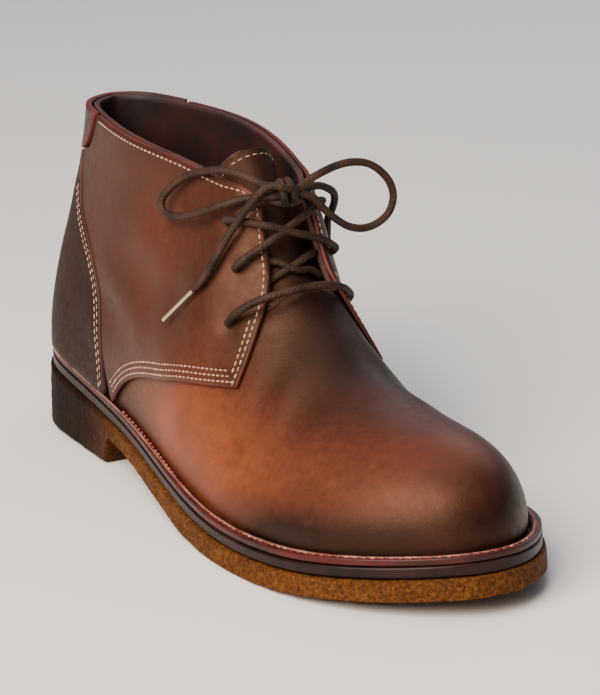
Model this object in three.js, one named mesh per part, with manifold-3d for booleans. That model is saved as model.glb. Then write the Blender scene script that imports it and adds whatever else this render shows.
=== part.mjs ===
// Plain lace-up chukka boot, right foot, standing empty on its crepe sole.
// Millimetres, +Z up. While it is being built, x runs from the back of the heel (0) to the
// toe (SOLE.length), +y is the inner (medial) side and -y the outer (lateral) side, and z = 0
// is the floor. The finished group is then moved so that its origin is at the middle of the sole.
import * as THREE from 'three';
import Module from 'manifold-3d';

const wasm = await Module();
wasm.setup();

// ---------------------------------------------------------------- driving dimensions

const SOLE = {
  length: 303,        // heel to toe at the crepe edge
  heelRound: 42,      // length over which the heel end rounds off
  toeRound: 60,       // length over which the toe end rounds off
  heelPower: 2.1,     // roundness of the heel end, 2 is an ellipse
  toePower: 2.2,      // roundness of the toe end
  toeShift: 5.5,      // how far the tip of the toe stands over to the inner side
  breast: 84,         // front face of the heel block
  breastRake: 4,      // the block's front face leans forward by this much
  flare: 0.9,         // how far the crepe's foot stands out past its top edge
  belly: 0.35,        // share of that flare reached half way down
  midsole: 4.6,       // thicknesses of the layers above the crepe
  welt: 2.4,
  insole: 3,
  midsoleInset: 1,    // how far the midsole and the welt stand back from the crepe's top edge
  weltInset: 1.2,
  insoleClear: 2.2,   // between the insole and the lining round it
};
const WALL = 2.2;       // upper with its lining
const OVERLAY = 1.5;    // leather of the quarters laid on the upper
const COUNTER = 2.1;    // heel counter, a little prouder than the quarters
const PATCH = 2.4;      // patch round the back of the collar, the proudest
const GAP = 0.3;        // clearance between pieces that touch on the real boot
const CLEAR = 0.6;      // the same under an overlay, where flat facets cut across the curve
const LACE = 3;         // lace diameter
const TIP = 2;          // diameter of the lace tips
const TUCK = 1;         // how far the upper's throat stops short of the facings laid over it
const RIDGE_END = 0.62; // rib at which the middle ridge of the last divides into the two sides

// Sole outline: half-widths each side of the axis before the ends are rounded off,
// the height of the crepe's top face and, in front of the heel block, its thickness.
const OUTLINE = [
  { x: 0, outer: 31.5, inner: 31.5, top: 27.2, crepe: 6 },
  { x: 36, outer: 34.8, inner: 35.5, top: 24.6, crepe: 6 },
  { x: 70, outer: 36.6, inner: 34.5, top: 20.6, crepe: 6 },
  { x: 105, outer: 39.6, inner: 32.5, top: 16.6, crepe: 6 },
  { x: 135, outer: 44.6, inner: 35, top: 13.2, crepe: 6.6 },
  { x: 165, outer: 50, inner: 41.5, top: 10, crepe: 7.6 },
  { x: 195, outer: 53.6, inner: 47.5, top: 7.8, crepe: 8 },
  { x: 222, outer: 53.2, inner: 50.4, top: 7.6, crepe: 8 },
  { x: 248, outer: 49, inner: 49.6, top: 9.2, crepe: 7.8 },
  { x: 272, outer: 43, inner: 46, top: 11.9, crepe: 7.8 },
  { x: 303, outer: 34.5, inner: 36, top: 16, crepe: 7.8 },
];

// How far the upper's foot is set in from the sole edge.
const FEATHER = [
  { x: 0, inset: 3.2 },
  { x: 60, inset: 3.4 },
  { x: 120, inset: 4.2 },
  { x: 200, inset: 5.6 },
  { x: 303, inset: 6 },
];

// The last. Each row is one rib of the upper from its foot on the sole to its top: the ridge
// over toe and instep first, then the collar from the front corner round to the back.
// foot: where the rib stands along the sole. x, z, half, mid: its top end, with half the
// distance to the same rib on the other side, and the shift of the middle to the inner side.
// turn: direction in plan from which it arrives, 0 from the toe, 90 from the side, 180 from the
// heel. climb: how steeply it arrives. lean: how far it leans outward at its foot, in degrees.
// rise, reach: how far it keeps those directions, low and high.
const LAST = [
  { u: 0.00, foot: 297.0, x: 258, z: 54, half: 0, mid: 5,
    turn: 0, climb: 0, lean: 3, rise: 22, reach: 24 },
  { u: 0.08, foot: 289, x: 253, z: 54.2, half: 0, mid: 5,
    turn: 45, climb: 0, lean: 3, rise: 22, reach: 25 },
  { u: 0.17, foot: 272, x: 246, z: 54.6, half: 0, mid: 4.6,
    turn: 75, climb: 0, lean: 4, rise: 23, reach: 25 },
  { u: 0.27, foot: 249, x: 235, z: 55.6, half: 0, mid: 4.2,
    turn: 88, climb: 0, lean: 4, rise: 22, reach: 25 },
  { u: 0.36, foot: 226, x: 221, z: 58.6, half: 0, mid: 3.8,
    turn: 90, climb: 0, lean: 4, rise: 22, reach: 23 },
  { u: 0.44, foot: 206, x: 208, z: 64.4, half: 0, mid: 3.6,
    turn: 90, climb: 0, lean: 4, rise: 22, reach: 21 },
  { u: 0.51, foot: 189, x: 194, z: 73, half: 0, mid: 3.6,
    turn: 90, climb: 0, lean: 4, rise: 24, reach: 20 },
  { u: 0.57, foot: 173, x: 181, z: 84, half: 0, mid: 3.8,
    turn: 90, climb: 0, lean: 4, rise: 28, reach: 19 },
  { u: 0.62, foot: 160, x: 169, z: 100.5, half: 0, mid: 4,
    turn: 90, climb: 10, lean: 4, rise: 34, reach: 16 },
  { u: 0.66, foot: 149, x: 157, z: 119, half: 9, mid: 4.2,
    turn: 90, climb: 45, lean: 4, rise: 42, reach: 14 },
  { u: 0.71, foot: 132, x: 146, z: 123.5, half: 15, mid: 4.2,
    turn: 90, climb: 75, lean: 5, rise: 45, reach: 18 },
  { u: 0.77, foot: 110, x: 126, z: 127, half: 19.5, mid: 4,
    turn: 90, climb: 84, lean: 5, rise: 40, reach: 28 },
  { u: 0.84, foot: 82, x: 98, z: 130, half: 24, mid: 3.6,
    turn: 90, climb: 87, lean: 3, rise: 32, reach: 33 },
  { u: 0.90, foot: 54, x: 70, z: 131.5, half: 23, mid: 3.2,
    turn: 95, climb: 88, lean: 2, rise: 29, reach: 35 },
  { u: 0.95, foot: 26, x: 39, z: 132, half: 16, mid: 2.8,
    turn: 125, climb: 86, lean: 4, rise: 28, reach: 37 },
  { u: 0.98, foot: 9.5, x: 26, z: 132.3, half: 9, mid: 2.5,
    turn: 160, climb: 84, lean: 8, rise: 29, reach: 37 },
  { u: 1.00, foot: 3.2, x: 22.5, z: 132.5, half: 0, mid: 2.5,
    turn: 180, climb: 82, lean: 12, rise: 30, reach: 36 },
];

// Where the closed ridge of the vamp ends and the throat opens.
const VAMP_END = 0.59;
const COLLAR_FRONT = 0.66;

// Front edge of the lacing facings, from the quarter's lower corner to the collar: its distance
// from the middle on each side.
const FACING = [
  { u: 0.549, outer: 33.8, inner: 26.2 },
  { u: 0.56, outer: 29, inner: 22.8 },
  { u: 0.573, outer: 24.4, inner: 19.5 },
  { u: 0.592, outer: 18, inner: 14.8 },
  { u: 0.612, outer: 12.8, inner: 11 },
  { u: 0.636, outer: 11, inner: 10 },
  { u: 0.66, outer: 9, inner: 9 },
];

// Lower edge of the quarter in side view, from that corner back to the sole.
const QUARTER_SEAM = [
  { x: 171, z: 54.5 },
  { x: 150, z: 52 },
  { x: 130, z: 47.5 },
  { x: 110, z: 42 },
  { x: 97, z: 34.5 },
];
const QUARTER_FOOT = 0.822;   // rib on which the seam comes down to the sole

// Front edge of the heel counter in side view, from the back patch down to the sole.
const COUNTER_EDGE = [
  { x: 37, z: 99 },
  { x: 47, z: 89.5 },
  { x: 60, z: 81 },
  { x: 70, z: 69 },
  { x: 76, z: 55 },
  { x: 80, z: 41 },
];
const COUNTER_FOOT = 0.84;    // rib on which that edge comes down to the sole
const COUNTER_HEAD = 0.965;   // rib on which it meets the patch

// Patch on the back of the collar: its depth below the collar, rib by rib.
const PATCH_EDGE = [
  { u: 0.936, depth: 1.5 },
  { u: 0.942, depth: 9 },
  { u: 0.955, depth: 16 },
  { u: 0.975, depth: 20.5 },
  { u: 1.00, depth: 22.5 },
];

// Lace holes on the facings, from the lowest pair up.
const HOLES = [
  { u: 0.62, outer: 27.4, inner: 19.8 },
  { u: 0.644, outer: 21.4, inner: 17 },
  { u: 0.68, outer: 19.4, inner: 16.6 },
];

// Tongue: middle line from under the vamp to the free top, half its width there, and how far
// its sides bend back.
const TONGUE = [
  { x: 186, z: 72.5, half: 17, bow: 13.5 },
  { x: 176.5, z: 84, half: 18, bow: 14 },
  { x: 165.5, z: 98.5, half: 18, bow: 14.5 },
  { x: 154, z: 114, half: 16, bow: 15 },
  { x: 147.5, z: 124.5, half: 14, bow: 13.8 },
  { x: 144, z: 131, half: 12, bow: 9 },
  { x: 142.3, z: 134.5, half: 7, bow: 2.5 },
];
const TONGUE_THICK = 1.8;
const TONGUE_SHIFT = 1.5;   // its middle line stands over to the inner side
const TONGUE_SINK = 1;      // its face lies this far behind the middle line given above

// The bow. Its knot stands at the top of the throat, widest across the boot.
const KNOT = { x: 165.5, y: 2, z: 122.5, halfX: 4.5, halfY: 8.5, halfZ: 4.5 };

// Routes of the free laces, each from the knot: the loops come back to it, the ends reach their
// tips. The outer loop and both ends lie on the quarters, the inner loop stands out stiffly.
const LOOP_OUTER = [
  [161.8, -7.2, 125.5], [157.5, -9.2, 127], [152, -11.6, 128.2], [146.5, -14.4, 128.8],
  [141, -16.8, 128], [135, -18.8, 126.4], [129, -20.8, 124], [123.5, -23.2, 120],
  [119.6, -25.8, 115.4], [119.4, -27.2, 111.6], [123.2, -27.4, 109.2], [129.5, -26.6, 109.4],
  [137, -25.4, 111.1], [144.5, -22.9, 113.8], [151.2, -19.3, 116.9], [157, -14.1, 119.7],
  [161.8, -8.2, 121],
];
const LOOP_INNER = [
  [167, 11, 126.4], [167.3, 16, 128.2], [167, 22, 129.6], [167.2, 28.5, 130], [167.6, 35, 128.6],
  [168.2, 40.2, 125], [168.6, 44, 120], [168.6, 45.3, 114.4], [168.2, 43.6, 108.8],
  [167.7, 39, 105.2], [167.2, 33, 103.9], [166.9, 26.5, 105.6], [166.8, 20.5, 109.8],
  [167, 15.4, 114.6], [167.5, 11.5, 119],
];
const END_OUTER = [
  [170.6, -4, 125.8], [169.8, -5.3, 126.4], [168.4, -7, 126.3], [166.9, -8.6, 125.4],
  [165, -11, 122.6], [163, -13.4, 118.8], [161.2, -16, 114.4], [160.3, -17.4, 112],
  [159.4, -18.8, 109.6], [157.8, -21.4, 104.8], [156.6, -24, 99.8], [155.3, -26.6, 95],
  [154.6, -27.8, 92.7], [153.6, -29, 90.4], [152.3, -30.1, 88.3], [150.6, -31.2, 86.4],
];
const TIP_OUTER = [[150.2, -31.5, 85.9], [136.2, -36.6, 72.2]];
const END_INNER = [
  [161.4, 8.6, 119.6], [161.4, 11, 120.7], [161.2, 14, 121.4], [160.8, 17.8, 121.2],
  [160, 21.6, 119.6], [157.8, 25.6, 116.8], [154.6, 28, 112.8], [151.2, 28.8, 108.4],
  [148.2, 28.6, 103.9], [146.2, 29.5, 99.8], [144.4, 30.4, 95.8], [142.8, 31.2, 91.6],
  [141.2, 32, 87.4], [139.8, 32.8, 83.4], [138.6, 33.4, 79.4],
];
const TIP_INNER = [[138.4, 33.6, 78.8], [132.8, 35.6, 60.4]];

// The taut laces: where each crosses the edges of the facings, and its bow between them.
const BAR = { u: 0.594, outer: 18, inner: 14.6, bow: 8 };
const CROSS = {
  low: { u: 0.648, outer: 11.5, inner: 10.6 },
  high: { u: 0.652, outer: 13.5, inner: 12.6 },
  bow: 4.5,
};
// The cross inside the throat: its middle rib, half its reach across and up, bow and lift.
const UNDER_CROSS = { u: 0.606, reach: 7.5, rise: 5, bow: 1.2, lift: 1 };
const PAST_HOLE = 2;        // a taut lace starts this far in front of its hole
const LACE_LIFT = 0.4;      // and lies this far off the facing

// How finely the surfaces are divided.
const MESH = {
  heelBlock: 16,
  forepart: 30,
  midsole: 44,
  welt: 76,
  insole: 36,
  vampRibs: 19,
  throatRibs: 3,
  collarRibs: 7,
  heelRibs: 7,
  levels: 12,
  tongueRows: 14,
  tongueColumns: 8,
  quarterRows: 17,
  quarterColumns: 12,
  counterRows: 10,
  counterColumns: 9,
  patchRows: 8,
  patchColumns: 4,
  tautLace: 14,
  underLace: 8,
};

// ---------------------------------------------------------------- curves

// Natural cubic spline through one column of a table.
function column(rows, at, key) {
  const x = rows.map((row) => row[at]);
  const y = rows.map((row) => row[key]);
  const n = x.length;
  const bend = new Array(n).fill(0);
  const work = new Array(n).fill(0);
  for (let i = 1; i < n - 1; i++) {
    const share = (x[i] - x[i - 1]) / (x[i + 1] - x[i - 1]);
    const pivot = share * bend[i - 1] + 2;
    const step = (y[i + 1] - y[i]) / (x[i + 1] - x[i]) - (y[i] - y[i - 1]) / (x[i] - x[i - 1]);
    bend[i] = (share - 1) / pivot;
    work[i] = ((6 * step) / (x[i + 1] - x[i - 1]) - share * work[i - 1]) / pivot;
  }
  bend[n - 1] = 0;
  for (let i = n - 2; i >= 0; i--) bend[i] = bend[i] * bend[i + 1] + work[i];
  return (t) => {
    let i = 0;
    while (i < n - 2 && t > x[i + 1]) i++;
    const h = x[i + 1] - x[i];
    const b = Math.min(Math.max((t - x[i]) / h, 0), 1);
    const a = 1 - b;
    return a * y[i] + b * y[i + 1] + ((a ** 3 - a) * bend[i] + (b ** 3 - b) * bend[i + 1]) * h * h / 6;
  };
}

function bisect(test, low, high) {
  for (let i = 0; i < 32; i++) {
    const middle = (low + high) / 2;
    if (test(middle)) high = middle;
    else low = middle;
  }
  return (low + high) / 2;
}

const radians = THREE.MathUtils.degToRad;

// ---------------------------------------------------------------- sole outline

const OUTER = -1;
const INNER = 1;
const sideName = (side) => (side === OUTER ? 'outer' : 'inner');
const outerWidth = column(OUTLINE, 'x', 'outer');
const innerWidth = column(OUTLINE, 'x', 'inner');
const crepeTop = column(OUTLINE, 'x', 'top');
const crepeThick = column(OUTLINE, 'x', 'crepe');
const featherInset = column(FEATHER, 'x', 'inset');

// Point of the sole edge at station x on one side.
function edgeAt(side, x) {
  const heel = Math.max(0, 1 - x / SOLE.heelRound);
  const toe = Math.max(0, 1 - (SOLE.length - x) / SOLE.toeRound);
  const heelEnd = (1 - heel ** SOLE.heelPower) ** (1 / SOLE.heelPower);
  const toeEnd = (1 - toe ** SOLE.toePower) ** (1 / SOLE.toePower);
  const width = side === OUTER ? outerWidth(x) : innerWidth(x);
  return new THREE.Vector2(x, toe * toe * SOLE.toeShift + side * width * heelEnd * toeEnd);
}

// The same edge moved inward by `inset`, at a share of the way from toe (0) to heel (1).
function outlineAt(side, share, inset) {
  const station = (s) => edgeAt(side, SOLE.length * (1 + Math.cos(Math.PI * s)) / 2);
  const point = station(share);
  const ahead = station(Math.max(share - 0.004, 0));
  const behind = station(Math.min(share + 0.004, 1));
  const along = ahead.sub(behind).normalize();
  const inward = new THREE.Vector2(along.y * side, -along.x * side);
  if (share <= 0) inward.set(-1, 0);
  if (share >= 1) inward.set(1, 0);
  return point.addScaledVector(inward, inset);
}

// Share of the outline whose inset point stands at station x.
function shareAt(side, x, inset) {
  return bisect((s) => outlineAt(side, s, inset(s)).x < x, 0, 1);
}

const stationOf = (share) => SOLE.length * (1 + Math.cos(Math.PI * share)) / 2;
const insetAt = (share) => featherInset(stationOf(share));

// ---------------------------------------------------------------- the last

const rib = Object.fromEntries(Object.keys(LAST[0]).map((key) => [key, column(LAST, 'u', key)]));
const ribShare = {};
for (const side of [OUTER, INNER]) {
  const rows = LAST.map((row, i) => {
    const ends = i === 0 ? 0 : 1;
    const inside = i > 0 && i < LAST.length - 1;
    return { u: row.u, share: inside ? shareAt(side, row.foot, insetAt) : ends };
  });
  ribShare[side] = column(rows, 'u', 'share');
}

const UPPER_FOOT = SOLE.midsole + 2 * GAP;    // above the crepe's top

// Point on the outside of the last: side, rib u (0 toe, 1 heel), v (0 foot, 1 top).
function onLast(side, u, v) {
  const share = Math.min(Math.max(ribShare[side](u), 0), 1);
  const plan = outlineAt(side, share, insetAt(share));
  const foot = new THREE.Vector3(plan.x, plan.y, crepeTop(plan.x) + UPPER_FOOT);
  const deeper = outlineAt(side, share, insetAt(share) + 1);
  const outward = new THREE.Vector3(plan.x - deeper.x, plan.y - deeper.y, 0).normalize();
  const lean = radians(rib.lean(u));
  const leave = outward.multiplyScalar(Math.sin(lean));
  leave.z = Math.cos(lean);

  const half = u > RIDGE_END && u < 1 ? Math.max(rib.half(u), 0) : 0;
  const top = new THREE.Vector3(rib.x(u), rib.mid(u) + side * half, rib.z(u));
  const turn = radians(Math.min(Math.max(rib.turn(u), 0), 180));
  const climb = radians(Math.max(rib.climb(u), 0));
  const arrive = new THREE.Vector3(
    -Math.cos(turn) * Math.cos(climb),
    -side * Math.sin(turn) * Math.cos(climb),
    Math.sin(climb),
  );
  const low = foot.clone().addScaledVector(leave, rib.rise(u));
  const high = top.clone().addScaledVector(arrive, -rib.reach(u));
  const w = 1 - v;
  return new THREE.Vector3()
    .addScaledVector(foot, w * w * w)
    .addScaledVector(low, 3 * w * w * v)
    .addScaledVector(high, 3 * w * v * v)
    .addScaledVector(top, v * v * v);
}

// Outward normal of the last on one side.
function normalAt(side, u, v) {
  const step = 0.006;
  const uc = Math.min(Math.max(u, step), 1 - step);
  const vc = Math.min(Math.max(v, step), 1 - 2 * step);
  const along = onLast(side, uc + step, vc).sub(onLast(side, uc - step, vc));
  const up = onLast(side, uc, vc + step).sub(onLast(side, uc, vc - step));
  return along.cross(up).multiplyScalar(side).normalize();
}

// The last grown by `out` along its normal. On the middle line both sides share one normal.
function lastAt(side, u, v, out) {
  const point = onLast(side, u, v);
  if (out === 0) return point;
  const onMiddle = u <= 0 || u >= 1 || (v >= 1 && u <= RIDGE_END);
  const normal = onMiddle
    ? normalAt(OUTER, u, v).add(normalAt(INNER, u, v)).setY(0).normalize()
    : normalAt(side, u, v);
  return point.addScaledVector(normal, out);
}

// v at which a rib stands `half` away from the middle, or at height z.
const offMiddle = (side, u, v) => Math.abs(onLast(side, u, v).y - rib.mid(u));
const vAtHalf = (side, u, half) => bisect((v) => offMiddle(side, u, v) < half, 0.3, 1);
const vAtHeight = (side, u, z) => bisect((v) => onLast(side, u, v).z > z, 0, 1);

// Rib and v of a point given in side view.
function inSideView(side, x, z) {
  const u = bisect((t) => onLast(side, t, vAtHeight(side, t, z)).x < x, 0.3, 1);
  return { u, v: vAtHeight(side, u, z) };
}

// ---------------------------------------------------------------- closed meshes

// Collects triangles, shares equal corners and turns the body outward.
function closedBody(triangles) {
  const index = new Map();
  const position = [];
  const corners = [];
  const idOf = (p) => {
    const key = [p.x, p.y, p.z].map((c) => Math.round(c * 500)).join();
    if (!index.has(key)) {
      index.set(key, position.length / 3);
      position.push(p.x, p.y, p.z);
    }
    return index.get(key);
  };
  let volume = 0;
  for (const [a, b, c] of triangles) {
    const ids = [idOf(a), idOf(b), idOf(c)];
    if (new Set(ids).size < 3) continue;
    corners.push(ids);
    volume += a.clone().cross(b).dot(c);
  }
  if (volume < 0) corners.forEach((ids) => ids.reverse());
  const geometry = new THREE.BufferGeometry();
  geometry.setAttribute('position', new THREE.Float32BufferAttribute(position, 3));
  geometry.setIndex(corners.flat());
  geometry.computeVertexNormals();
  return geometry;
}

const quad = (a, b, c, d) => [[a, b, c], [a, c, d]];

// A sheet of real thickness between two grids of points, with its four rims.
function sheet(outer, inner) {
  const faces = [];
  const rows = outer.length - 1;
  const cols = outer[0].length - 1;
  for (let i = 0; i < rows; i++) {
    for (let j = 0; j < cols; j++) {
      faces.push(...quad(outer[i][j], outer[i + 1][j], outer[i + 1][j + 1], outer[i][j + 1]));
      faces.push(...quad(inner[i][j], inner[i][j + 1], inner[i + 1][j + 1], inner[i + 1][j]));
    }
    faces.push(...quad(outer[i + 1][0], outer[i][0], inner[i][0], inner[i + 1][0]));
    faces.push(...quad(outer[i][cols], outer[i + 1][cols], inner[i + 1][cols], inner[i][cols]));
  }
  for (let j = 0; j < cols; j++) {
    faces.push(...quad(outer[0][j], outer[0][j + 1], inner[0][j + 1], inner[0][j]));
    faces.push(...quad(outer[rows][j + 1], outer[rows][j], inner[rows][j], inner[rows][j + 1]));
  }
  return closedBody(faces);
}

// Flat-sided layer of the sole: `sideProfile` gives the points down its edge at a share of the
// outline, and each rib of the layer joins the outer edge to the inner one.
function soleLayer(shares, sideProfile) {
  const loops = shares.map((share) => {
    const outerEdge = sideProfile(OUTER, share);
    const innerEdge = sideProfile(INNER, share).reverse();
    return [...outerEdge, ...innerEdge];
  });
  const faces = [];
  for (let i = 0; i < loops.length - 1; i++) {
    const n = loops[i].length;
    for (let j = 0; j < n; j++) {
      const k = (j + 1) % n;
      faces.push(...quad(loops[i][j], loops[i + 1][j], loops[i + 1][k], loops[i][k]));
    }
  }
  return closedBody(faces);
}

// Ring of the outline between two insets, from one height to another.
function soleRing(count, outside, inside, bottom, top) {
  const ring = [];
  for (let i = 0; i < count; i++) {
    const turn = (2 * i) / count;
    const side = turn <= 1 ? OUTER : INNER;
    const share = turn <= 1 ? turn : 2 - turn;
    const out = outlineAt(side, share, outside(share));
    const inn = outlineAt(side, share, inside(share));
    const point = (p, lift) => new THREE.Vector3(p.x, p.y, crepeTop(p.x) + lift);
    ring.push([point(out, top), point(out, bottom), point(inn, bottom), point(inn, top)]);
  }
  const faces = [];
  ring.forEach((section, i) => {
    const next = ring[(i + 1) % count];
    section.forEach((corner, j) => {
      const k = (j + 1) % 4;
      faces.push(...quad(corner, next[j], next[k], section[k]));
    });
  });
  return closedBody(faces);
}

// n + 1 even steps between two numbers.
function evenly(n, from = 0, to = 1) {
  return Array.from({ length: n + 1 }, (_, i) => from + ((to - from) * i) / n);
}

// ---------------------------------------------------------------- sole pieces

function outsole() {
  const shareOf = (x) => Math.acos((2 * x) / SOLE.length - 1) / Math.PI;
  const behind = shareOf(SOLE.breast);
  const front = shareOf(SOLE.breast + SOLE.breastRake);
  const shares = [...evenly(MESH.forepart, 0, front), ...evenly(MESH.heelBlock, behind, 1)];
  return soleLayer(shares, (side, share) => {
    const top = outlineAt(side, share, 0);
    const foot = outlineAt(side, share, -SOLE.flare);
    const middle = outlineAt(side, share, -SOLE.flare * SOLE.belly);
    const height = crepeTop(top.x);
    const isHeel = share >= behind - 1e-9;
    const floor = isHeel ? 0 : Math.max(0, height - crepeThick(top.x));
    return [
      new THREE.Vector3(top.x, top.y, height),
      new THREE.Vector3(middle.x, middle.y, (height + floor) / 2),
      new THREE.Vector3(foot.x, foot.y, floor),
    ];
  });
}

function midsole() {
  return soleLayer(evenly(MESH.midsole), (side, share) => {
    const rim = outlineAt(side, share, SOLE.midsoleInset);
    const height = crepeTop(rim.x) + GAP;
    return [
      new THREE.Vector3(rim.x, rim.y, height + SOLE.midsole),
      new THREE.Vector3(rim.x, rim.y, height),
    ];
  });
}

function welt() {
  const outside = () => SOLE.weltInset;
  const inside = (share) => insetAt(share) - 3 * GAP;
  const base = SOLE.midsole + 2 * GAP;
  return soleRing(MESH.welt, outside, inside, base, base + SOLE.welt);
}

function insole() {
  return soleLayer(evenly(MESH.insole), (side, share) => {
    const rim = outlineAt(side, share, insetAt(share) + WALL + SOLE.insoleClear);
    const height = crepeTop(rim.x) + UPPER_FOOT;
    return [
      new THREE.Vector3(rim.x, rim.y, height + SOLE.insole),
      new THREE.Vector3(rim.x, rim.y, height),
    ];
  });
}

// ---------------------------------------------------------------- upper

const facingHalf = {
  [OUTER]: column(FACING, 'u', 'outer'),
  [INNER]: column(FACING, 'u', 'inner'),
};

function topOfUpper(side, u) {
  if (u <= VAMP_END || u >= COLLAR_FRONT) return 1;
  return vAtHalf(side, u, facingHalf[side](u) + TUCK);
}

function upper() {
  const throatStart = VAMP_END + 0.01;
  const heelStart = 0.89;
  const ribs = [
    ...evenly(MESH.vampRibs, 0, VAMP_END),
    ...evenly(MESH.throatRibs, throatStart, COLLAR_FRONT),
    ...evenly(MESH.collarRibs, COLLAR_FRONT, heelStart).slice(1),
    ...evenly(MESH.heelRibs, heelStart, 1).slice(1),
  ];
  const levels = evenly(MESH.levels);
  const closedRibs = MESH.vampRibs + 1;
  const faces = [];
  for (const side of [OUTER, INNER]) {
    const grid = (out) => ribs.map((u) => {
      const end = topOfUpper(side, u);
      return levels.map((t) => lastAt(side, u, t * end, out));
    });
    const outer = grid(0);
    const inner = grid(-WALL);
    const add = (list) => faces.push(...(side === OUTER ? list : list.map((t) => [...t].reverse())));
    const top = levels.length - 1;
    for (let i = 0; i < ribs.length - 1; i++) {
      for (let j = 0; j < top; j++) {
        add(quad(outer[i][j], outer[i + 1][j], outer[i + 1][j + 1], outer[i][j + 1]));
        add(quad(inner[i][j], inner[i][j + 1], inner[i + 1][j + 1], inner[i + 1][j]));
      }
      add(quad(outer[i + 1][0], outer[i][0], inner[i][0], inner[i + 1][0]));
      if (i >= closedRibs - 1) {
        add(quad(outer[i][top], outer[i + 1][top], inner[i + 1][top], inner[i][top]));
      }
    }
  }
  return closedBody(faces);
}

function tongue() {
  const place = Object.fromEntries(['x', 'z', 'half', 'bow'].map((key) => [
    key, column(TONGUE.map((row, i) => ({ ...row, at: i })), 'at', key),
  ]));
  const last = TONGUE.length - 1;
  const grid = (deep) => evenly(MESH.tongueRows, 0, last).map((at) => {
    const ahead = Math.min(at + 0.05, last);
    const behind = Math.max(at - 0.05, 0);
    const rise = new THREE.Vector2(place.x(ahead) - place.x(behind), place.z(ahead) - place.z(behind));
    rise.normalize();
    const normal = new THREE.Vector3(rise.y, 0, -rise.x);
    return evenly(MESH.tongueColumns, -1, 1).map((t) => {
      const y = TONGUE_SHIFT + t * place.half(at);
      const sag = place.bow(at) * t * t;
      return new THREE.Vector3(place.x(at), y, place.z(at)).addScaledVector(normal, -sag - deep);
    });
  });
  return sheet(grid(TONGUE_SINK), grid(TONGUE_SINK + TONGUE_THICK));
}

// ---------------------------------------------------------------- overlays on the upper

// Smooth path through points { u, v } on the last, read at t from 0 to 1.
function pathOnLast(points) {
  const rows = points.map((point, i) => ({ ...point, t: i / (points.length - 1) }));
  const u = column(rows, 't', 'u');
  const v = column(rows, 't', 'v');
  return (t) => ({ u: u(t), v: v(t) });
}

// Grid of { u, v } stretched between four edges: `front` and `back` rise, `low` and `high` run
// from front to back.
function stretch(front, back, low, high, rows, cols) {
  const blend = (s, t, key) => (1 - t) * low(s)[key] + t * high(s)[key]
    + (1 - s) * front(t)[key] + s * back(t)[key]
    - (1 - s) * (1 - t) * low(0)[key] - s * (1 - t) * low(1)[key]
    - (1 - s) * t * high(0)[key] - s * t * high(1)[key];
  const placeOf = (s, t) => ({ u: blend(s, t, 'u'), v: blend(s, t, 'v') });
  return evenly(rows).map((s) => evenly(cols).map((t) => placeOf(s, t)));
}

const WELT_LINE = SOLE.welt + 3 * GAP;   // overlays start above the welt
const vAboveWelt = (side, u) => vAtHeight(side, u, onLast(side, u, 0).z + WELT_LINE);
const patchDepth = column(PATCH_EDGE, 'u', 'depth');
const vUnderPatch = (side, u) => vAtHeight(side, u, rib.z(u) - patchDepth(u));
const SEAM_U = 0.002;                    // clearance between neighbouring overlays, along the ribs
const SEAM_V = 0.006;                    // and up them

function counterEdge(side, shift, lift) {
  const foot = COUNTER_FOOT + shift;
  const head = COUNTER_HEAD + shift;
  return [
    { u: foot, v: vAboveWelt(side, foot) },
    ...COUNTER_EDGE.map(({ x, z }) => inSideView(side, x, z)).reverse()
      .map(({ u, v }) => ({ u: u + shift, v })),
    { u: head, v: vUnderPatch(side, head) - lift },
  ];
}

function quarter(side) {
  const facing = pathOnLast(FACING.map((row) => ({
    u: row.u,
    v: row.u >= COLLAR_FRONT ? 1 : vAtHalf(side, row.u, row[sideName(side)]),
  })));
  const seam = pathOnLast([
    { u: FACING[0].u, v: facing(0).v },
    ...QUARTER_SEAM.map(({ x, z }) => inSideView(side, x, z)),
    { u: QUARTER_FOOT, v: vAboveWelt(side, QUARTER_FOOT) },
  ]);
  const edge = counterEdge(side, -SEAM_U, SEAM_V);
  edge[0] = { u: QUARTER_FOOT, v: vAboveWelt(side, QUARTER_FOOT) };
  const underPatch = PATCH_EDGE.filter(({ u }) => u < COUNTER_HEAD).reverse()
    .map(({ u }) => ({ u: u - 2 * SEAM_U, v: vUnderPatch(side, u) - 2 * SEAM_V }));
  underPatch[underPatch.length - 1].v = 1;
  const back = pathOnLast([...edge, ...underPatch]);
  const collar = (t) => ({ u: COLLAR_FRONT + (back(1).u - COLLAR_FRONT) * t, v: 1 });
  const places = stretch(facing, back, seam, collar, MESH.quarterRows, MESH.quarterColumns);
  const grid = (out) => places.map((row) => row.map(({ u, v }) => lastAt(side, u, v, out)));
  return sheet(grid(CLEAR + OVERLAY), grid(CLEAR));
}

// Both halves of a piece that wraps the heel, joined at its middle.
function roundHeel(half, out, thick) {
  const [outerSide, innerSide] = [OUTER, INNER].map((side) => half(side));
  const grid = (lift) => [
    ...outerSide.map((row) => row.map(({ u, v }) => lastAt(OUTER, u, v, lift))),
    ...innerSide.slice(0, -1).reverse().map((row) => row.map(({ u, v }) => lastAt(INNER, u, v, lift))),
  ];
  return sheet(grid(out + thick), grid(out));
}

function heelCounter() {
  return roundHeel((side) => {
    const edge = counterEdge(side, 0, SEAM_V);
    const front = pathOnLast(edge);
    const backTop = vUnderPatch(side, 1) - SEAM_V;
    const back = (t) => ({ u: 1, v: vAboveWelt(side, 1) * (1 - t) + backTop * t });
    const low = (s) => {
      const u = COUNTER_FOOT + (1 - COUNTER_FOOT) * s;
      return { u, v: vAboveWelt(side, u) };
    };
    const high = (s) => {
      const u = COUNTER_HEAD + (1 - COUNTER_HEAD) * s;
      return { u, v: vUnderPatch(side, u) - SEAM_V };
    };
    return stretch(front, back, low, high, MESH.counterRows, MESH.counterColumns);
  }, CLEAR, COUNTER);
}

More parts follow.
